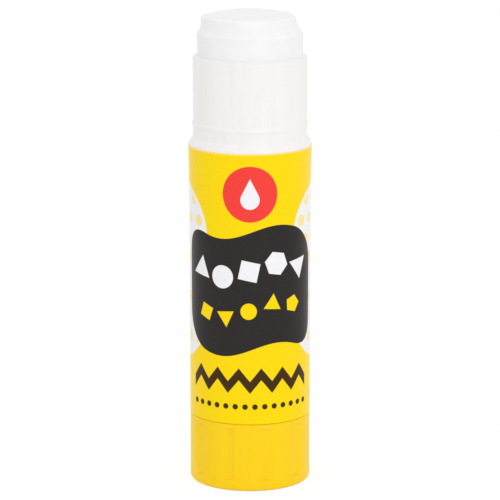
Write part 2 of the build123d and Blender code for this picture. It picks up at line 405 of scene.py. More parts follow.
class MouldedGrain(Effect):
    """The fine grain and the slow sink of a moulded skin."""

    name = "moulded_grain"
    inputs = {"Grain Size": 0.12, "Sink Size": 9.0, "Sink": 6.0}

    def wire(self) -> dict[str, Term]:
        """Add up the grain and the sink.

        Returns:
            The height for a bump.
        """
        place = self.place()
        fine = self.cloud(place, self.given["Grain Size"], detail=3.0)
        slow = self.cloud(place, self.given["Sink Size"], detail=1.0)
        return {"Height": fine + slow * self.given["Sink"]}


class FlowLines(Effect):
    """Faint streaks along the axis, where the plastic ran up the mould."""

    name = "flow_lines"
    inputs = {"Streak Width": 1.2, "Draw": 0.06}

    def wire(self) -> dict[str, Term]:
        """Draw a noise out along the axis.

        Returns:
            The streaks, from zero to one.
        """
        stretch = self.node("ShaderNodeCombineXYZ", {"X": 1.0, "Y": 1.0, "Z": self.given["Draw"]})
        places = {0: self.place(), 1: stretch.outputs[0]}
        drawn = self.node("ShaderNodeVectorMath", places, operation="MULTIPLY")
        return {"Streaks": self.cloud(drawn.outputs[0], self.given["Streak Width"], detail=2.0)}


class HandlingMarks(Effect):
    """Soft smudges and hairline rubs from fingers and from the shelf."""

    name = "handling_marks"
    inputs = {"Smudge Size": 5.0, "Rub Width": 0.5}

    def wire(self) -> dict[str, Term]:
        """Pick the peaks of a stirred noise, and of one that is drawn out aslant.

        Returns:
            The smudges and the rubs, each from zero to one.
        """
        smudges = self.cloud(self.place(), self.given["Smudge Size"], detail=4.0, distortion=1.2)
        aslant = self.place(Rotation=(0.4, 0.5, 0.3), Scale=(0.05, 1.0, 1.0))
        rubs = self.cloud(aslant, self.given["Rub Width"], detail=3.0)
        smudged = self.ramp(smudges, low=0.45, high=0.75)
        return {"Smudges": smudged, "Rubs": self.ramp(rubs, low=0.62, high=0.74)}


class Specks(Effect):
    """Sparse tiny specks of dust."""

    name = "specks"
    inputs = {"Spacing": 3.0, "Speck Size": 0.1, "Share": 0.25}

    def wire(self) -> dict[str, Term]:
        """Mark the middles of a share of the cells.

        Returns:
            A mask, one on a speck.
        """
        spacing = self.given["Spacing"]
        cells = self.node("ShaderNodeTexVoronoi", {"Vector": self.place(), "Scale": (spacing * MM) ** -1.0})
        distance = self.term(cells.outputs["Distance"]) * spacing
        lot = self.node("ShaderNodeSeparateColor", {0: cells.outputs["Color"]}).outputs[0]
        spot = distance.math("LESS_THAN", self.given["Speck Size"])
        return {"Mask": spot * self.term(lot).math("LESS_THAN", self.given["Share"])}


class WornEdges(Effect):
    """The outward edges, broken up, where a skin is rubbed."""

    name = "worn_edges"
    inputs = {"Threshold": 0.53, "Spread": 0.06, "Break": 0.04, "Break Size": 0.8}

    def wire(self) -> dict[str, Term]:
        """Pick the sharp places.

        Returns:
            A mask, one on a rubbed edge.
        """
        sharpness = self.term(self.node("ShaderNodeNewGeometry").outputs["Pointiness"])
        cloud = self.cloud(self.place(), self.given["Break Size"], detail=4.0)
        broken = sharpness + (cloud - 0.5) * self.given["Break"]
        edge = (broken - self.given["Threshold"]) / self.given["Spread"]
        return {"Mask": edge.math("MULTIPLY", 1.0, clamp=True)}


class WrapPlace(Effect):
    """The place on the wrap, unrolled."""

    name = "wrap_place"
    inputs = {"Radius": 13.4}

    def wire(self) -> dict[str, Term]:
        """Unroll the place.

        Returns:
            Millimetres round the tube from the front, and millimetres of height.
        """
        parts = self.node("ShaderNodeSeparateXYZ", {0: self.place()})
        east, north, up = (self.term(socket) for socket in parts.outputs)
        return {"Around": east.math("ARCTAN2", -north) * self.given["Radius"], "Height": up / MM}


# The wrap's print: each shape gives the distance to its edge in millimetres, less than zero inside


FROM_MIDDLE = {"Across": 0.0, "Up": 0.0}


class DiscShape(Effect):
    """A round spot."""

    name = "disc_shape"
    inputs = FROM_MIDDLE | {"Radius": 1.0}

    def wire(self) -> dict[str, Term]:
        """Measure to the rim."""
        return {"Distance": self.given["Across"].hypot(self.given["Up"]) - self.given["Radius"]}


class PanelShape(Effect):
    """A rectangle with round corners."""

    name = "panel_shape"
    inputs = FROM_MIDDLE | {"Half Width": 1.0, "Half Height": 1.0, "Corner": 0.2}

    def wire(self) -> dict[str, Term]:
        """Measure to the sides, and to the arcs at the corners.

        Returns:
            The distance.
        """
        corner = self.given["Corner"]
        over = abs(self.given["Across"]) - self.given["Half Width"] + corner
        past = abs(self.given["Up"]) - self.given["Half Height"] + corner
        outside = over.most(0.0).hypot(past.most(0.0))
        return {"Distance": outside + over.most(past).least(0.0) - corner}


class PolygonShape(Effect):
    """A regular polygon that stands on a flat side until it is turned."""

    name = "polygon_shape"
    inputs = FROM_MIDDLE | {"Sides": 4.0, "Reach": 1.0, "Turn": 0.0}

    def wire(self) -> dict[str, Term]:
        """Fold all sides onto one and measure to it.

        Returns:
            The distance.
        """
        across, up = self.given["Across"], self.given["Up"]
        sector = self.given["Sides"] ** -1.0 * math.tau
        share = (across.math("ARCTAN2", -up) + self.given["Turn"]) / sector + 0.5
        folded = (share.math("FRACT") - 0.5) * sector
        return {"Distance": across.hypot(up) * folded.math("COSINE") - self.given["Reach"]}


class ZigzagShape(Effect):
    """A thick zigzag stroke with its ends cut straight."""

    name = "zigzag_shape"
    inputs = FROM_MIDDLE | {"Reach": 10.0, "Rise": 1.5, "Period": 5.0, "Half Width": 0.5}

    def wire(self) -> dict[str, Term]:
        """Measure from the stroke's middle line and from its ends.

        Returns:
            The distance.
        """
        across, rise, half = self.given["Across"], self.given["Rise"], self.given["Period"] / 2.0
        level = (across.math("PINGPONG", half) / half * 2.0 - 1.0) * rise
        steepness = (rise * 2.0 / half).hypot(1.0)
        beside = abs(self.given["Up"] - level) / steepness - self.given["Half Width"]
        return {"Distance": beside.most(abs(across) - self.given["Reach"])}


class DotRows(Effect):
    """Rows of dots, every second row shifted by half a step."""

    name = "dot_rows"
    inputs = FROM_MIDDLE | {"Step": 4.0, "Radius": 1.0}

    def wire(self) -> dict[str, Term]:
        """Measure to the dot in the same cell.

        Returns:
            The distance.
        """
        step = self.given["Step"]
        rows = self.given["Up"] / step
        columns = self.given["Across"] / step + rows.math("FLOOR").math("PINGPONG", 1.0) * 0.5
        beside, above = ((cell.math("FRACT") - 0.5) * step for cell in (columns, rows))
        return {"Distance": beside.hypot(above) - self.given["Radius"]}


@dataclass(frozen=True)
class CutOut:
    """A paper cut-out, with its middle's place round from the front and the reach to its sides.

    It is a disc where it has no sides.
    """

    across: float
    reach: float
    sides: int = 0
    turn: float = 0.0


@dataclass(frozen=True)
class Panel:
    """A panel of the print, the same left and right of the front."""

    across: float
    up: float
    half_width: float
    half_height: float
    corner: float


@dataclass
class Print:
    """The wrap's print, laid down ink by ink."""

    wiring: Wiring
    ink_softness: float = 0.09
    ink_top: float = 74.72
    side_panel: Panel = Panel(22.0, 47.5, 11.6, 19.5, 11.0)
    side_dot_step: float = 4.4
    side_dot_radius: float = 1.3
    side_dot_margin: float = 0.8
    dark_panel: Panel = Panel(0.0, 44.8, 17.2, 13.0, 6.5)
    sway_rise: float = 1.5
    sway_period: float = 26.0
    white_lift: float = 4.6
    white_row: tuple[CutOut, ...] = (
        CutOut(-12.1, 1.5, 3, 8.0),
        CutOut(-6.3, 2.55),
        CutOut(-0.2, 2.1, 4, 12.0),
        CutOut(6.0, 2.4, 6, 10.0),
        CutOut(12.1, 1.5, 3, 52.0),
    )
    yellow_lift: float = -4.2
    yellow_row: tuple[CutOut, ...] = (
        CutOut(-10.6, 1.5, 4, 20.0),
        CutOut(-5.5, 1.15, 3, 55.0),
        CutOut(-0.3, 1.8),
        CutOut(5.1, 1.15, 3, 5.0),
        CutOut(10.3, 1.6, 5, 15.0),
    )
    badge_up: float = 66.2
    badge_radius: float = 6.1
    drop_up: float = 65.0
    drop_radius: float = 2.1
    drop_tip: float = 69.6
    zigzag_up: float = 25.0
    zigzag_reach: float = 15.0
    zigzag_rise: float = 1.5
    zigzag_period: float = 5.0
    zigzag_half_width: float = 0.85
    foot_dots_up: float = 19.2
    foot_dots_reach: float = 15.4
    foot_dot_step: float = 2.2
    foot_dot_radius: float = 0.62
    back_field: Panel = Panel(42.1, 47.5, 6.0, 12.0, 1.2)
    back_rules: tuple[Panel, ...] = (Panel(42.1, 52.0, 4.4, 0.3, 0.1), Panel(42.1, 44.5, 4.4, 0.3, 0.1))

    def __post_init__(self) -> None:
        """Find the place on the wrap and start with the yellow ground."""
        self.around, self.height = self.wiring.use(WrapPlace).values()
        self.colour: object = Ink.YELLOW.colour

    def lay(self, ink: Ink, distance: Term) -> None:
        """Print a shape in an ink over what is there, from the distance to its edge."""
        inside = (distance / -self.ink_softness + 0.5).math("ADD", 0.0, clamp=True)
        self.colour = self.wiring.mix(inside, self.colour, ink.colour)

    def shape(self, effect: type[Effect], across: Term, level: Term | float, **sizes: object) -> Term:
        """Distance to the edge of a shape with its middle at a level."""
        return self.wiring.use(effect, Across=across, Up=self.height - level, **sizes)["Distance"]

    def panel(self, panel: Panel, rise: Term | float = 0.0) -> Term:
        """Distance to the edge of a panel that is raised by a rise."""
        sizes = {"Half_Width": panel.half_width, "Half_Height": panel.half_height, "Corner": panel.corner}
        return self.shape(PanelShape, abs(self.around) - panel.across, rise + panel.up, **sizes)

    def draw(self) -> Term:
        """Lay down the whole print.

        Returns:
            The print's colour.
        """
        self.side_panels()
        self.cut_out_panel()
        self.badge()
        self.foot_marks()
        self.lay(Ink.WHITE, self.panel(self.back_field))
        for rule in self.back_rules:
            self.lay(Ink.CHARCOAL, self.panel(rule))
        self.lay(Ink.PALE_YELLOW, -(self.height - self.ink_top))
        return self.colour

    def side_panels(self) -> None:
        """White panels with pale dots on both sides."""
        edge = self.panel(self.side_panel)
        self.lay(Ink.WHITE, edge)
        side = abs(self.around) - self.side_panel.across
        dots = self.shape(DotRows, side, 0.0, Step=self.side_dot_step, Radius=self.side_dot_radius)
        self.lay(Ink.PALE_YELLOW, dots.most(edge + self.side_dot_margin))

    def cut_out_panel(self) -> None:
        """The charcoal panel, which sways, with its two rows of cut-outs."""
        sway = (self.around * (math.tau / self.sway_period)).math("SINE") * self.sway_rise
        self.lay(Ink.CHARCOAL, self.panel(self.dark_panel, sway))
        for cut_out in self.white_row:
            self.lay(Ink.WHITE, self.cut_out(cut_out, self.white_lift))
        for cut_out in self.yellow_row:
            self.lay(Ink.YELLOW, self.cut_out(cut_out, self.yellow_lift))

    def cut_out(self, shape: CutOut, lift: float) -> Term:
        """Place a cut-out that sways with the panel.

        Args:
            shape: The cut-out.
            lift: Height of its row over the panel's middle.

        Returns:
            The distance to its edge.
        """
        sway = math.sin(shape.across * math.tau / self.sway_period) * self.sway_rise
        across, level = self.around - shape.across, self.dark_panel.up + lift + sway
        if not shape.sides:
            return self.shape(DiscShape, across, level, Radius=shape.reach)
        turn = math.radians(shape.turn)
        return self.shape(PolygonShape, across, level, Sides=shape.sides, Reach=shape.reach, Turn=turn)

    def badge(self) -> None:
        """The round red badge with a white drop."""
        self.lay(Ink.RED, self.shape(DiscShape, self.around, self.badge_up, Radius=self.badge_radius))
        ball = self.shape(DiscShape, self.around, self.drop_up, Radius=self.drop_radius)
        lean = math.asin(self.drop_radius / (self.drop_tip - self.drop_up))
        point = abs(self.around) * math.cos(lean) + (self.height - self.drop_tip) * math.sin(lean)
        above = -(self.height - self.drop_up - self.drop_radius * math.sin(lean))
        self.lay(Ink.WHITE, ball.least(point.most(above)))

    def foot_marks(self) -> None:
        """The brown zigzag and the row of dots near the foot."""
        zigzag = self.shape(
            ZigzagShape, self.around, self.zigzag_up,
            Reach=self.zigzag_reach, Rise=self.zigzag_rise, Period=self.zigzag_period,
            Half_Width=self.zigzag_half_width,
        )
        self.lay(Ink.BROWN, zigzag)
        half_row = self.foot_dot_step / 2
        dots = self.shape(
            DotRows, self.around, self.foot_dots_up - half_row,
            Step=self.foot_dot_step, Radius=self.foot_dot_radius,
        )
        past_row = abs(self.height - self.foot_dots_up) - half_row
        self.lay(Ink.BROWN, dots.most(past_row).most(abs(self.around) - self.foot_dots_reach))


# Finishes


@dataclass(frozen=True, kw_only=True)
class Finish:
    """What every finish has: the values that are the same all over, with depths in millimetres."""

    name: str
    roughness: float
    bump_depth: float
    specular: float
    glow: float = 0.0
    glow_depth: float = 1.0
    glow_reach: tuple[float, float, float] = (1.0, 0.9, 0.8)

    def skin(self, wiring: Wiring) -> tuple[Term, Term, Term]:
        """The colour, the roughness's change round the usual one, and the height of the grain."""
        raise NotImplementedError

    def material(self) -> Material:
        """Make the material.

        Returns:
            The material.
        """
        made = bpy.data.materials.new(self.name)
        made.use_nodes = True
        wiring = Wiring(made.node_tree)
        colour, change, height = self.skin(wiring)
        bump = wiring.node("ShaderNodeBump", {"Height": height, "Distance": self.bump_depth * MM})
        values = {
            "Base Color": colour,
            "Roughness": change + self.roughness,
            "Normal": bump.outputs["Normal"],
            "Specular IOR Level": self.specular,
            "Subsurface Weight": self.glow,
            "Subsurface Radius": self.glow_reach,
            "Subsurface Scale": self.glow_depth * MM,
        }
        shader = made.node_tree.nodes["Principled BSDF"]
        for label, value in values.items():
            plug(made.node_tree, shader.inputs[label], value)
        return made


@dataclass(frozen=True, kw_only=True)
class MouldedPlastic(Finish):
    """Moulded polypropylene with a fine grain, flow lines, smudges, dust and rubbed edges."""

    colour: Colour
    deep_colour: Colour
    rubbed_colour: Colour
    dust_colour: Colour = linear(120, 112, 100)
    grain_size: float = 0.12
    dust_spacing: float = 4.0
    dust_share: float = 0.35
    rubbed_share: float = 0.5
    smudge_roughness: float = 0.07
    rub_roughness: float = 0.08
    streak_roughness: float = 0.06

    def skin(self, wiring: Wiring) -> tuple[Term, Term, Term]:
        """Wire the plastic.

        Args:
            wiring: The material's wiring.

        Returns:
            The colour, the roughness's change and the grain's height.
        """
        streaks = wiring.use(FlowLines)["Streaks"]
        rubbed = wiring.use(WornEdges)["Mask"] * self.rubbed_share
        dust = wiring.use(Specks, Spacing=self.dust_spacing)["Mask"] * self.dust_share
        flowed = wiring.mix(wiring.ramp(streaks, low=0.35, high=0.75), self.colour, self.deep_colour)
        dusted = wiring.mix(dust, wiring.mix(rubbed, flowed, self.rubbed_colour), self.dust_colour)
        smudges, rubs = wiring.use(HandlingMarks).values()
        marks = smudges * self.smudge_roughness + rubs * self.rub_roughness
        change = marks + (streaks - 0.5) * self.streak_roughness
        return dusted, change, wiring.use(MouldedGrain, Grain_Size=self.grain_size)["Height"]


@dataclass(frozen=True, kw_only=True)
class PrintedFilm(Finish):
    """The glossy printed film of the wrap, with its ink mottled and its skin rippled."""

    mottle_size: float = 0.35
    mottle_height: float = 0.4
    dull_value: float = 0.975
    bright_value: float = 1.02
    ripple_size: float = 3.2
    ripple_height: float = 4.0
    smudge_size: float = 7.0
    smudge_roughness: float = 0.05
    rub_roughness: float = 0.06

    def skin(self, wiring: Wiring) -> tuple[Term, Term, Term]:
        """Wire the film.

        Args:
            wiring: The material's wiring.

        Returns:
            The colour, the roughness's change and the ripples' height.
        """
        mottle = wiring.cloud(wiring.place(), self.mottle_size, detail=2.0)
        value = wiring.ramp(mottle, 0.3, 0.7, to_low=self.dull_value, to_high=self.bright_value)
        inked = wiring.node("ShaderNodeHueSaturation", {"Color": Print(wiring).draw(), "Value": value})
        smudges, rubs = wiring.use(HandlingMarks, Smudge_Size=self.smudge_size).values()
        change = smudges * self.smudge_roughness + rubs * self.rub_roughness
        ripples = wiring.cloud(wiring.place(Scale=(1.0, 1.0, 0.35)), self.ripple_size, detail=1.0)
        height = ripples * self.ripple_height + mottle * self.mottle_height
        return wiring.term(inked.outputs[0]), change, height


@dataclass(frozen=True, kw_only=True)
class CastGlue(Finish):
    """Waxy white glue with a skin of smears, scrapes and small pits."""

    colour: Colour
    deep_colour: Colour
    smear_size: float = 2.5
    smear_height: float = 1.2
    scrape_size: float = 0.9
    scrape_height: float = 0.6
    pit_spacing: float = 1.6
    pit_size: float = 0.12
    pit_depth: float = 0.8
    smudge_size: float = 3.0
    smudge_roughness: float = 0.1
    scrape_roughness: float = 0.1

    def skin(self, wiring: Wiring) -> tuple[Term, Term, Term]:
        """Wire the glue.

        Args:
            wiring: The material's wiring.

        Returns:
            The colour, the roughness's change and the skin's height.
        """
        smears = wiring.cloud(wiring.place(), self.smear_size, detail=3.0)
        scrapes = wiring.cloud(wiring.place(Scale=(0.25, 1.0, 1.0)), self.scrape_size, detail=4.0)
        pits = wiring.use(Specks, Spacing=self.pit_spacing, Speck_Size=self.pit_size)["Mask"]
        tinted = wiring.mix(wiring.ramp(smears, low=0.3, high=0.75), self.colour, self.deep_colour)
        smudges = wiring.use(HandlingMarks, Smudge_Size=self.smudge_size)["Smudges"]
        change = smudges * self.smudge_roughness + (scrapes - 0.5) * self.scrape_roughness
        height = smears * self.smear_height + scrapes * self.scrape_height - pits * self.pit_depth
        return tinted, change, height


WHITE_PLASTIC = MouldedPlastic(
    name="white_plastic", roughness=0.34, bump_depth=0.012, specular=0.35,
    colour=linear(245, 242, 242), deep_colour=linear(242, 239, 239), rubbed_colour=linear(250, 249, 248),
)
YELLOW_PLASTIC = MouldedPlastic(
    name="yellow_plastic", roughness=0.36, bump_depth=0.012, specular=0.17, glow=0.1, glow_depth=0.6,
    colour=linear(255, 214, 20), deep_colour=linear(254, 210, 12), rubbed_colour=linear(255, 226, 90),
)
INNER_PLASTIC = MouldedPlastic(
    name="inner_plastic", roughness=0.42, bump_depth=0.01, specular=0.4, glow=0.2,
    colour=linear(240, 240, 240), deep_colour=linear(234, 234, 234), rubbed_colour=linear(246, 246, 246),
)
PRINTED_FILM = PrintedFilm(name="printed_film", roughness=0.27, bump_depth=0.006, specular=0.12)
CAST_GLUE = CastGlue(
    name="cast_glue", roughness=0.38, bump_depth=0.02, specular=0.45,
    glow=0.08, glow_depth=0.6, glow_reach=(1.0, 1.0, 0.95),
    colour=linear(245, 244, 244), deep_colour=linear(242, 241, 242),
)


# The stick's pieces, with sizes in millimetres


@dataclass
class Piece:
    """What every piece has: its node in the frame, its body, a material slot name that is not used, and its
    finish.
    """

    node: str
    body: Body
    slot: str
    finish: Finish

    def shaped(self) -> Object:
        """The new object, in place and still bare."""
        raise NotImplementedError

    def build(self) -> Object:
        """Make the piece, dress it and set it in the frame.

        Returns:
            The piece.
        """
        piece = self.shaped()
        piece.data.materials.append(self.finish.material())
        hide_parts(self.node)
        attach(piece, self.body.value)
        return piece


@dataclass
class TurnedPiece(Piece):
    """A piece that is turned about the axis, with a relief in its surface.

    Attributes:
        name: The object's name.
        step: Longest stretch between two points of a straight side.
    """

    name: ClassVar[str]
    step: ClassVar[float]

    def corners(self) -> list[Corner]:
        """The corners of its closed outline, counter-clockwise."""
        raise NotImplementedError

    def angles(self) -> list[float]:
        """The angles of the outline's copies."""
        raise NotImplementedError

    def relief(self, radius: float, height: float, angle: float) -> float:
        """The radius of the surface where the plain turned one has this radius."""
        raise NotImplementedError

    def shaped(self) -> Object:
        """Turn the outline about the axis.

        Returns:
            The new object.
        """
        angles = self.angles()
        points: list[Vector] = []
        rings: list[list[int]] = []
        for radius, height in rounded_outline(self.corners(), self.step):
            first = len(points)
            if radius < ON_AXIS:
                points.append(Vector((0, 0, height)))
                rings.append([first] * len(angles))
            else:
                points += [turned_point(self.relief(radius, height, a), a, height) for a in angles]
                rings.append(list(range(first, len(points))))
        faces: list[tuple[int, ...]] = []
        for ring, following in zip(rings, rings[1:] + rings[:1]):
            if ring[0] != ring[-1] or following[0] != following[-1]:
                faces += bridge(ring, following)
        return new_piece(self.name, points, faces)


@dataclass
class Barrel(TurnedPiece):
    """The white tube with its neck, shoulder, ribs, floor and collar."""

    name = "barrel_tube"
    step = 2.5
    foot_radius: float = 13.1
    waist_radius: float = 13.16
    top_radius: float = 13.37
    foot_height: float = 15.25
    waist_height: float = 60.0
    side_step: float = 3.0
    shoulder_low: float = 75.1
    shoulder_high: float = 76.5
    shoulder_slope: float = 0.75
    shoulder_curve: float = 1.5
    shoulder_shares: tuple[float, ...] = (
        0, 0.2, 0.4, 0.55, 0.7, 0.8, 0.88, 0.94, 0.98, 1, 1.03, 1.08, 1.16, 1.3, 1.5, 1.8, 2.1
    )
    root_softness: float = 0.1
    neck_radius: float = 12.4
    bead_height: float = 79.6
    bead_width: float = 1.6
    bead_rise: float = 0.24
    bead_steps: int = 10
    rim_height: float = 94.2
    rim_round: float = 0.22
    mouth_radius: float = 11.49
    mouth_depth: float = 0.5
    smear_radius: float = 0.5
    smear_steps: int = 8
    bore_radius: float = 11.55
    floor_low: float = 15.6
    floor_high: float = 17.0
    bearing_radius: float = 3.78
    collar_radius: float = 11.76
    collar_bore: float = 10.66
    collar_low: float = 5.0
    collar_round: float = 0.2
    edge_round: float = 0.1
    snap_height: float = 8.05
    snap_width: float = 1.4
    snap_rise: float = 0.3
    rib_top: float = 83.0
    rib_step: float = 0.05
    rib_rise: float = 0.45
    rib_width: float = 1.2

    @property
    def rib_half_turn(self) -> float:
        """Half the angle that a rib takes."""
        return math.degrees(self.rib_width / 2 / self.bore_radius)

    def side_radius(self, height: float) -> float:
        """Radius of the long side, which opens out in its last stretch.

        Args:
            height: Height over the table.

        Returns:
            The radius.
        """
        slope = (self.waist_radius - self.foot_radius) / (self.waist_height - self.foot_height)
        if height <= self.waist_height:
            return self.foot_radius + slope * (height - self.foot_height)
        run, past = self.shoulder_low - self.waist_height, height - self.waist_height
        flare = self.top_radius - self.waist_radius - slope * run
        return self.waist_radius + slope * past + flare * (past / run) ** 2

    def bead(self, radius: float, height: float, width: float, rise: float) -> list[Corner]:
        """Draw a low round bead on a wall.

        Args:
            radius: Radius of the wall.
            height: Height of the bead's middle.
            width: The bead's width.
            rise: How far it stands out.

        Returns:
            Its corners from its foot to its head.
        """
        return [
            Corner(radius + rise * (1 - math.cos(math.tau * share)) / 2, height + width * (share - 0.5))
            for share in (i / self.bead_steps for i in range(self.bead_steps + 1))
        ]

    def shoulder_share(self, climb: float) -> float:
        """How far the shoulder stands out of the neck, as a share, at a share of its height."""
        left = 1 - self.shoulder_slope * climb**self.shoulder_curve
        return min(smooth_top(left, self.root_softness), 1.0)

    def smear(self) -> list[Corner]:
        """Draw the smear of glue that fills the corner between the rim and the stick.

        Returns:
            Its hollow side, from the rim up to a thin edge.
        """
        turns = [math.pi / 2 * i / self.smear_steps for i in range(self.smear_steps)]
        return [
            Corner(
                self.mouth_radius + self.smear_radius * (1 - math.sin(turn)),
                self.rim_height + self.smear_radius * (1 - math.cos(turn)),
            )
            for turn in turns
        ]

    def corners(self) -> list[Corner]:
        """Draw the closed outline, up the outside and down the bore.

        Returns:
            Its corners.
        """
        side_heights = steps_between(self.foot_height, self.shoulder_low, self.side_step)[1:]
        ledge, climb = self.top_radius - self.neck_radius, self.shoulder_high - self.shoulder_low
        shoulder = [
            Corner(self.neck_radius + ledge * self.shoulder_share(share), self.shoulder_low + climb * share)
            for share in self.shoulder_shares
        ]
        return [
            Corner(self.collar_bore, self.collar_low, self.edge_round),
            Corner(self.collar_radius, self.collar_low, self.collar_round),
            *self.bead(self.collar_radius, self.snap_height, self.snap_width, self.snap_rise),
            Corner(self.collar_radius, self.foot_height),
            Corner(self.foot_radius, self.foot_height, self.edge_round / 2),
            *(Corner(self.side_radius(height), height) for height in side_heights),
            *shoulder,
            *self.bead(self.neck_radius, self.bead_height, self.bead_width, self.bead_rise),
            Corner(self.neck_radius, self.rim_height, self.rim_round),
            *self.smear(),
            Corner(self.mouth_radius, self.rim_height - self.mouth_depth),
            Corner(self.bore_radius, self.rim_height - 2 * self.mouth_depth),
            Corner(self.bore_radius, self.rib_top + self.rib_step),
            Corner(self.bore_radius, self.rib_top - 2 * self.rib_step),
            Corner(self.bore_radius, self.floor_high),
            Corner(self.bearing_radius, self.floor_high, self.edge_round),
            Corner(self.bearing_radius, self.floor_low, self.edge_round),
            Corner(self.collar_bore, self.floor_low, self.edge_round),
        ]

    def angles(self) -> list[float]:
        """Angles all round, close together at the edges of the ribs."""
        return angles_with_ribs(self.rib_half_turn)

    def relief(self, radius: float, height: float, angle: float) -> float:
        """Raise the guide ribs in the bore.

        Args:
            radius: Radius of the outline.
            height: Its height.
            angle: Angle of the copy.

        Returns:
            The radius with the rib.
        """
        in_bore = abs(radius - self.bore_radius) <= NEAR
        beside_ribs = self.floor_high <= height < self.rib_top - self.rib_step
        on_it = in_bore and beside_ribs and on_rib(angle, self.rib_half_turn)
        return radius - self.rib_rise if on_it else radius


@dataclass
class Label(Piece):
    """The printed wrap, a strip of film whose last stretch lies over its start."""

    barrel: Barrel
    film: float = 0.09
    seat_gap: float = 0.008
    low: float = 15.28
    high: float = 75.02
    lap_start: float = 83.5
    lap_turn: float = 13.0
    ramp_turn: float = 3.0
    station_turn: float = 1.25
    row_step: float = 1.4

    def section(self, turn: float) -> list[Point]:
        """Cut the strip across after a turn from its start.

        Args:
            turn: Angle from the start, in degrees.

        Returns:
            The cut as radius and height, up the outside and down the inside.
        """
        heights = [*steps_between(self.low, self.high, self.row_step), self.high]
        lift = self.film * smooth_step(turn, FULL_TURN - self.ramp_turn, FULL_TURN)
        inside = [(self.barrel.side_radius(height) + self.seat_gap + lift, height) for height in heights]
        return [(radius + self.film, height) for radius, height in inside] + inside[::-1]

    def shaped(self) -> Object:
        """Lay the strip round the barrel.

        Returns:
            The new object.
        """
        whole = FULL_TURN + self.lap_turn
        points: list[Vector] = []
        rings: list[list[int]] = []
        for turn in [*steps_between(0.0, whole, self.station_turn), whole]:
            first = len(points)
            points += [turned_point(radius, self.lap_start + turn, z) for radius, z in self.section(turn)]
            rings.append(list(range(first, len(points))))
        faces = [face for ring, after in zip(rings, rings[1:]) for face in bridge(after, ring)]
        start, end = rings[0], rings[-1]
        for i in range(len(start) // 2 - 1):
            faces.append((start[-1 - i], start[i], start[i + 1], start[-2 - i]))
            faces.append((end[i], end[-1 - i], end[-2 - i], end[i + 1]))
        return new_piece("label_wrap", points, faces)


@dataclass
class TwistKnob(TurnedPiece):
    """The fluted yellow knob that the stick stands on."""

    name = "knob_shell"
    step = 1.2
    radius: float = 13.18
    height: float = 15.16
    foot_round: float = 0.9
    top_round: float = 0.25
    edge_round: float = 0.1
    ring_inside: float = 9.88
    ring_round: float = 0.15
    recess: float = 0.6
    recess_round: float = 0.2
    gate_radius: float = 0.7
    gate_sink: float = 0.1
    gate_depth: float = 0.45
    dimple_radius: float = 3.0
    cavity_radius: float = 11.88
    cavity_round: float = 0.3
    inside_height: float = 2.1
    hub_radius: float = 4.7
    hub_top: float = 15.4
    socket_low: float = 5.0
    socket_flats: float = 5.6
    socket_sides: int = 6
    flute_count: int = 10
    flute_width: float = 3.1
    flute_depth: float = 0.42
    flute_low: float = 2.3
    flute_high: float = 14.25
    flute_start: float = -111.4
    flute_softness: float = 0.035
    fine_turn: float = 8.0
    fine_step: float = 0.5
    coarse_step: float = 2.3
    ledge_run: float = 0.16
    ledge_shares: tuple[float, ...] = (0.0, 0.25, 0.5, 0.75, 1.0)

    @property
    def pitch(self) -> float:
        """Angle from one flute to the next."""
        return FULL_TURN / self.flute_count

    def relief(self, radius: float, height: float, angle: float) -> float:
        """Sink the flutes outside and shape the six-sided socket inside.

        Args:
            radius: Radius of the outline.
            height: Its height.
            angle: Angle of the copy.

        Returns:
            The shaped radius.
        """
        if radius < self.socket_flats / 2 + NEAR and height > self.socket_low - NEAR:
            half_side = FULL_TURN / self.socket_sides / 2
            return radius / math.cos(math.radians((angle + half_side) % (2 * half_side) - half_side))
        if radius < self.radius - NEAR or not self.flute_low < height < self.flute_high:
            return radius
        offset = (angle - self.flute_start + self.pitch / 2) % self.pitch - self.pitch / 2
        across = self.radius * math.sin(math.radians(offset))
        bowl = self.flute_depth * (1 - (across / (self.flute_width / 2)) ** 2)
        depth = smooth_top(bowl, self.flute_softness)
        foot = smooth_step(height, self.flute_low, self.flute_low + self.ledge_run)
        head = smooth_step(height, self.flute_high, self.flute_high - self.ledge_run)
        return radius - depth * foot * head

    def corners(self) -> list[Corner]:
        """Draw the closed outline, from the axis under the base round to the axis in the socket.

        Returns:
            Its corners.
        """
        ledges = [
            Corner(self.radius, start + self.ledge_run * share)
            for start in (self.flute_low, self.flute_high - self.ledge_run)
            for share in self.ledge_shares
        ]
        gate_low, dimple_top = self.recess + self.gate_sink, self.recess + self.gate_depth
        return [
            Corner(0, gate_low),
            Corner(self.gate_radius, gate_low, self.edge_round),
            Corner(self.gate_radius, dimple_top, self.edge_round / 2),
            Corner(self.dimple_radius, dimple_top, self.top_round),
            Corner(self.dimple_radius, self.recess, self.edge_round),
            Corner(self.ring_inside, self.recess, self.recess_round),
            Corner(self.ring_inside, 0, self.ring_round),
            Corner(self.radius, 0, self.foot_round),
            *ledges,
            Corner(self.radius, self.height, self.top_round),
            Corner(self.cavity_radius, self.height, self.ring_round),
            Corner(self.cavity_radius, self.inside_height, self.cavity_round),
            Corner(self.hub_radius, self.inside_height, self.cavity_round),
            Corner(self.hub_radius, self.hub_top, self.edge_round),
            Corner(self.socket_flats / 2, self.hub_top),
            Corner(self.socket_flats / 2, self.socket_low),
            Corner(0, self.socket_low),
        ]

    def angles(self) -> list[float]:
        """Spread angles all round, close together in the flutes.

        Returns:
            The angles, sorted.
        """
        reach = self.fine_turn
        fine = [*steps_between(-reach, reach, self.fine_step), reach]
        coarse = steps_between(reach, self.pitch - reach, self.coarse_step)[1:]
        return sorted(
            (self.flute_start + flute * self.pitch + offset) % FULL_TURN
            for flute in range(self.flute_count)
            for offset in fine + coarse
        )


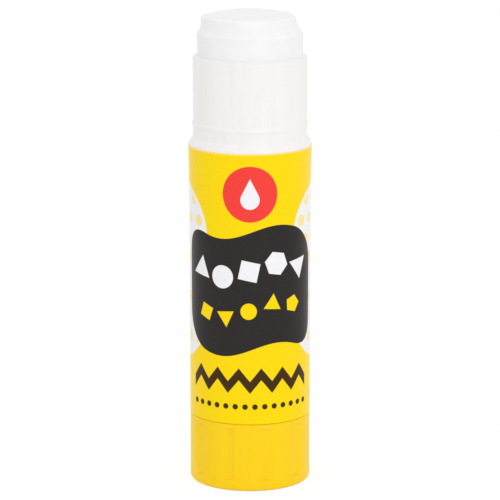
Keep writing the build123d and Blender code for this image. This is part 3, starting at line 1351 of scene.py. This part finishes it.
@dataclass
class Glue(TurnedPiece):
    """The cast stick of glue, bevelled round its top."""

    name = "glue_stick"
    step = 1.0
    radius: float = 11.47
    crown_height: float = 103.4
    crown_drop: float = 0.35
    crown_shares: tuple[float, ...] = (0.8, 0.6, 0.4, 0.2, 0.0)
    face_radius: float = 10.2
    face_round: float = 0.5
    bevel_foot: float = 99.3
    bevel_foot_round: float = 0.35
    bevel_curve: float = 2.3
    bevel_shares: tuple[float, ...] = (0.86, 0.78, 0.7, 0.61, 0.52, 0.42, 0.32, 0.2)
    foot_height: float = 55.4
    foot_round: float = 0.3
    cup_radius: float = 10.55
    cup_top: float = 60.4
    bore_radius: float = 3.45
    bore_top: float = 96.1
    bore_round: float = 0.8
    groove_top: float = 93.2
    groove_ends: tuple[float, float] = (-0.05, 0.02)
    groove_radius: float = 10.9
    groove_half_width: float = 0.8
    face_shift: float = -0.4
    swell: float = 0.05
    swell_size: float = 4.0
    swell_lean: float = 0.6
    back_rise: float = 0.2
    side_drop: float = 0.18
    side_drop_angle: float = -1.15  # radians round from the back, as the next
    wear_spread: float = 0.45

    @property
    def groove_half_turn(self) -> float:
        """Half the angle that a groove takes."""
        return math.degrees(self.groove_half_width / self.radius)

    @property
    def face_edge(self) -> float:
        """Height of the face's edge."""
        return self.crown_height - self.crown_drop

    def angles(self) -> list[float]:
        """Angles all round, close together at the edges of the grooves."""
        return angles_with_ribs(self.groove_half_turn)

    def relief(self, radius: float, height: float, angle: float) -> float:
        """Sink the grooves that the barrel's ribs leave."""
        on_side = radius >= self.radius - NEAR and self.cup_top - NEAR < height < self.groove_top
        return self.groove_radius if on_side and on_rib(angle, self.groove_half_turn) else radius

    def corners(self) -> list[Corner]:
        """Draw the closed outline, from the bore's foot round to the bore's top.

        Returns:
            Its corners.
        """
        width, run = self.radius - self.face_radius, self.face_edge - self.bevel_foot
        bevel = [
            Corner(self.face_radius + width * share**self.bevel_curve, self.face_edge - run * share)
            for share in self.bevel_shares
        ]
        crown = [
            Corner(self.face_radius * share, self.crown_height - self.crown_drop * share**2)
            for share in self.crown_shares
        ]
        return [
            Corner(self.bore_radius, self.foot_height),
            Corner(self.cup_radius, self.foot_height, self.foot_round),
            Corner(self.cup_radius, self.cup_top),
            Corner(self.radius, self.cup_top),
            *(Corner(self.radius, self.groove_top + offset) for offset in self.groove_ends),
            Corner(self.radius, self.bevel_foot, self.bevel_foot_round),
            *bevel,
            Corner(self.face_radius, self.face_edge, self.face_round),
            *crown,
            Corner(0, self.bore_top),
            Corner(self.bore_radius, self.bore_top, self.bore_round),
        ]

    def shaped(self) -> Object:
        """Turn the glue and move its bevel and face a little, as hand and cap leave them.

        Returns:
            The new object.
        """
        piece = super().shaped()
        for vertex in piece.data.vertices:
            height = vertex.co.z / MM
            share = smooth_step(height, self.bevel_foot, self.face_edge)
            if share <= 0 or height < self.bore_top + NEAR:
                continue
            swell = noise.noise(vertex.co / (self.swell_size * MM)) * self.swell
            vertex.co.x += self.face_shift * MM * share
            vertex.co.z -= abs(swell) * MM * share
            vertex.co.y += swell * self.swell_lean * MM * share
            outward = min(math.hypot(vertex.co.x, vertex.co.y) / (self.face_radius * MM), 1.0)
            from_back = math.atan2(vertex.co.x, vertex.co.y)
            rise = self.back_rise * math.exp(-((from_back / self.wear_spread) ** 2))
            from_side = (from_back - self.side_drop_angle) / self.wear_spread
            drop = self.side_drop * math.exp(-(from_side**2))
            vertex.co.z += (rise - drop) * MM * share * outward**4
        return piece


@dataclass
class InnerPiece(Piece):
    """A piece inside the stick, which keeps the frame's own shape."""

    def build(self) -> Object:
        """Dress the frame's node.

        Returns:
            The node's object.
        """
        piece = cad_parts[self.node]
        piece.data.materials.clear()
        piece.data.materials.append(self.finish.material())
        return piece


# The studio, in metres, with the lens in millimetres


@dataclass(frozen=True)
class Lamp:
    """A soft square lamp: where it stands, the width of its face and its power in watts."""

    name: str
    place: tuple[float, float, float]
    width: float
    power: float

    def light(self, target: Vector) -> None:
        """Set up the lamp.

        Args:
            target: The point that it faces.
        """
        data = bpy.data.lights.new(self.name, "AREA")
        data.size, data.energy = self.width, self.power
        lamp = bpy.data.objects.new(self.name, data)
        lamp.location = self.place
        lamp.rotation_euler = (target - lamp.location).to_track_quat("-Z", "Y").to_euler()
        bpy.context.scene.collection.objects.link(lamp)


@dataclass
class Studio:
    """The camera, the lamps, the white surroundings and the floor."""

    camera_distance: float = 0.6728
    camera_elevation: float = 12.21
    target_height: float = 0.05125
    focal_length: float = 221.2
    sensor_width: float = 36.0
    clip_start: float = 0.01
    clip_end: float = 50.0
    surroundings: float = 0.843
    floor_reach: float = 6.0
    floor_whitening: float = 0.82
    floor_white: float = 1.06
    lamps: tuple[Lamp, ...] = (
        Lamp("key_front_right", (0.36, -0.78, 0.3), 0.45, 1.22),
        Lamp("top_soft", (-0.1, -0.1, 0.9), 0.8, 0.8),
    )

    def set_camera(self) -> None:
        """Place the camera where the photograph was taken from."""
        data = bpy.data.cameras.new("camera")
        data.lens, data.sensor_width = self.focal_length, self.sensor_width
        data.clip_start, data.clip_end = self.clip_start, self.clip_end
        camera = bpy.data.objects.new("camera", data)
        tilt = math.radians(self.camera_elevation)
        back, rise = self.camera_distance * math.cos(tilt), self.camera_distance * math.sin(tilt)
        camera.location = (0.0, -back, self.target_height + rise)
        camera.rotation_euler = (math.pi / 2 - tilt, 0.0, 0.0)
        bpy.context.scene.collection.objects.link(camera)
        bpy.context.scene.camera = camera

    def seen(self, wiring: Wiring) -> Term:
        """One for a ray that shows the surroundings, zero for one that lights.

        Args:
            wiring: The material's or the world's wiring.

        Returns:
            The share.
        """
        paths = wiring.node("ShaderNodeLightPath")
        names = ("Is Camera Ray", "Is Glossy Ray", "Is Transmission Ray")
        camera, glossy, through = (wiring.term(paths.outputs[name]) for name in names)
        return camera.most(glossy).most(through)

    def set_world(self) -> None:
        """Surround the stick with white that lights it softly."""
        world = bpy.data.worlds.new("white_surroundings")
        world.use_nodes = True
        strength = self.seen(Wiring(world.node_tree)) * (1.0 - self.surroundings) + self.surroundings
        background = world.node_tree.nodes["Background"]
        background.inputs["Color"].default_value = WHITE
        plug(world.node_tree, background.inputs["Strength"], strength)
        bpy.context.scene.world = world

    def set_floor(self) -> None:
        """Lay a pale floor that shows white and keeps a faint shadow."""
        reach = self.floor_reach
        mesh = bpy.data.meshes.new("floor")
        square = [(-reach, -reach, 0), (reach, -reach, 0), (reach, reach, 0), (-reach, reach, 0)]
        mesh.from_pydata(square, [], [(0, 1, 2, 3)])
        floor = bpy.data.objects.new("floor", mesh)
        bpy.context.scene.collection.objects.link(floor)
        material = bpy.data.materials.new("floor_white")
        material.use_nodes = True
        material.node_tree.nodes.clear()
        wiring = Wiring(material.node_tree)
        paper = wiring.node("ShaderNodeBsdfDiffuse", {"Color": linear(248, 248, 248)})
        white = wiring.node("ShaderNodeEmission", {"Color": WHITE, "Strength": self.floor_white})
        shares = {0: self.seen(wiring) * self.floor_whitening, 1: paper.outputs[0], 2: white.outputs[0]}
        mixed = wiring.node("ShaderNodeMixShader", shares)
        wiring.node("ShaderNodeOutputMaterial", {"Surface": mixed.outputs[0]})
        mesh.materials.append(material)

    def build(self) -> None:
        """Set up the whole studio."""
        self.set_camera()
        self.set_world()
        self.set_floor()
        for lamp in self.lamps:
            lamp.light(Vector((0, 0, self.target_height)))
        bpy.context.scene.view_settings.view_transform = "Standard"


def main() -> None:
    """Build the studio and then the stick, piece by piece."""
    logging.basicConfig(level=logging.INFO, format="%(message)s")
    Studio().build()
    log.info("studio is set")
    barrel = Barrel("barrel", Body.TUBE, "white_plastic", WHITE_PLASTIC)
    pieces = [
        barrel,
        Label("label", Body.TUBE, "printed_film", PRINTED_FILM, barrel),
        TwistKnob("twist_knob", Body.KNOB, "yellow_plastic", YELLOW_PLASTIC),
        Glue("glue", Body.LIFT, "glue", CAST_GLUE),
        InnerPiece("lead_screw", Body.KNOB, "screw_plastic", INNER_PLASTIC),
        InnerPiece("carrier", Body.LIFT, "carrier_plastic", INNER_PLASTIC),
    ]
    for piece in pieces:
        made = piece.build()
        log.info("%s: %d points", made.name, len(made.data.vertices))


if __name__ == "__main__":
    main()
